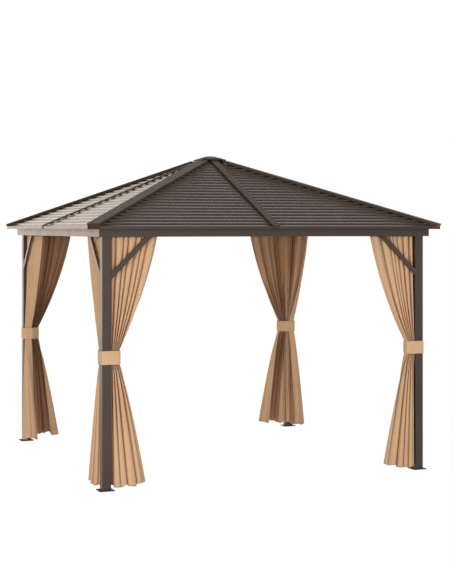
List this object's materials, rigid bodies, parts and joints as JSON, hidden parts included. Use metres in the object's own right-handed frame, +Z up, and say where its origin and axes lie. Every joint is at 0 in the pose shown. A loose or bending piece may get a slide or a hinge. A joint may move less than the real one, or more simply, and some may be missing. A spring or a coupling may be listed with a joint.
{
  "type": "garden gazebo",
  "caption": "Square metal garden gazebo: stepped sheet hip roof with a vented peak on posts with corner braces, curtains tied back at the corners.",
  "frame": {"origin": "middle of the plan at ground level, under the foot plates", "axes": "+Z up, front towards -Y, +X to the right seen from the front"},
  "size_m": [3.0156, 3.0156, 2.6157],
  "materials": {
    "post_metal": "powder coated, satin",
    "beam_metal": "powder coated, satin",
    "roof_metal": "coated steel sheet, satin",
    "trim_metal": "coated steel sheet, satin",
    "rafter_metal": "powder coated, satin",
    "foot_metal": "powder coated, satin",
    "vent_metal": "powder coated, satin",
    "rail_metal": "powder coated track",
    "curtain_cloth": "plain woven polyester",
    "tie_cloth": "plain woven polyester"
  },
  "bodies": {
    "root": {"post_front_left": "post_metal", "foot_plate_front_left": "foot_metal", "hip_rafter_front_left": "rafter_metal", "hip_cap_front_left": "trim_metal", "curtain_front_left": "curtain_cloth", "post_front_right": "post_metal", "foot_plate_front_right": "foot_metal", "hip_rafter_front_right": "rafter_metal", "hip_cap_front_right": "trim_metal", "curtain_front_right": "curtain_cloth", "post_back_left": "post_metal", "foot_plate_back_left": "foot_metal", "hip_rafter_back_left": "rafter_metal", "hip_cap_back_left": "trim_metal", "curtain_back_left": "curtain_cloth", "post_back_right": "post_metal", "foot_plate_back_right": "foot_metal", "hip_rafter_back_right": "rafter_metal", "hip_cap_back_right": "trim_metal", "curtain_back_right": "curtain_cloth", "beam_front": "beam_metal", "braces_front": "beam_metal", "eave_trim_front": "trim_metal", "roof_front": "roof_metal", "mid_rafter_front": "rafter_metal", "beam_right": "beam_metal", "braces_right": "beam_metal", "eave_trim_right": "trim_metal", "roof_right": "roof_metal", "mid_rafter_right": "rafter_metal", "beam_back": "beam_metal", "braces_back": "beam_metal", "eave_trim_back": "trim_metal", "roof_back": "roof_metal", "mid_rafter_back": "rafter_metal", "beam_left": "beam_metal", "braces_left": "beam_metal", "eave_trim_left": "trim_metal", "roof_left": "roof_metal", "mid_rafter_left": "rafter_metal", "roof_strips": "trim_metal", "crown_hub": "rafter_metal", "vent_frame": "vent_metal", "vent_cap": "trim_metal", "curtain_rails": "rail_metal", "curtain_ties": "tie_cloth"}
  },
  "joints": []
}
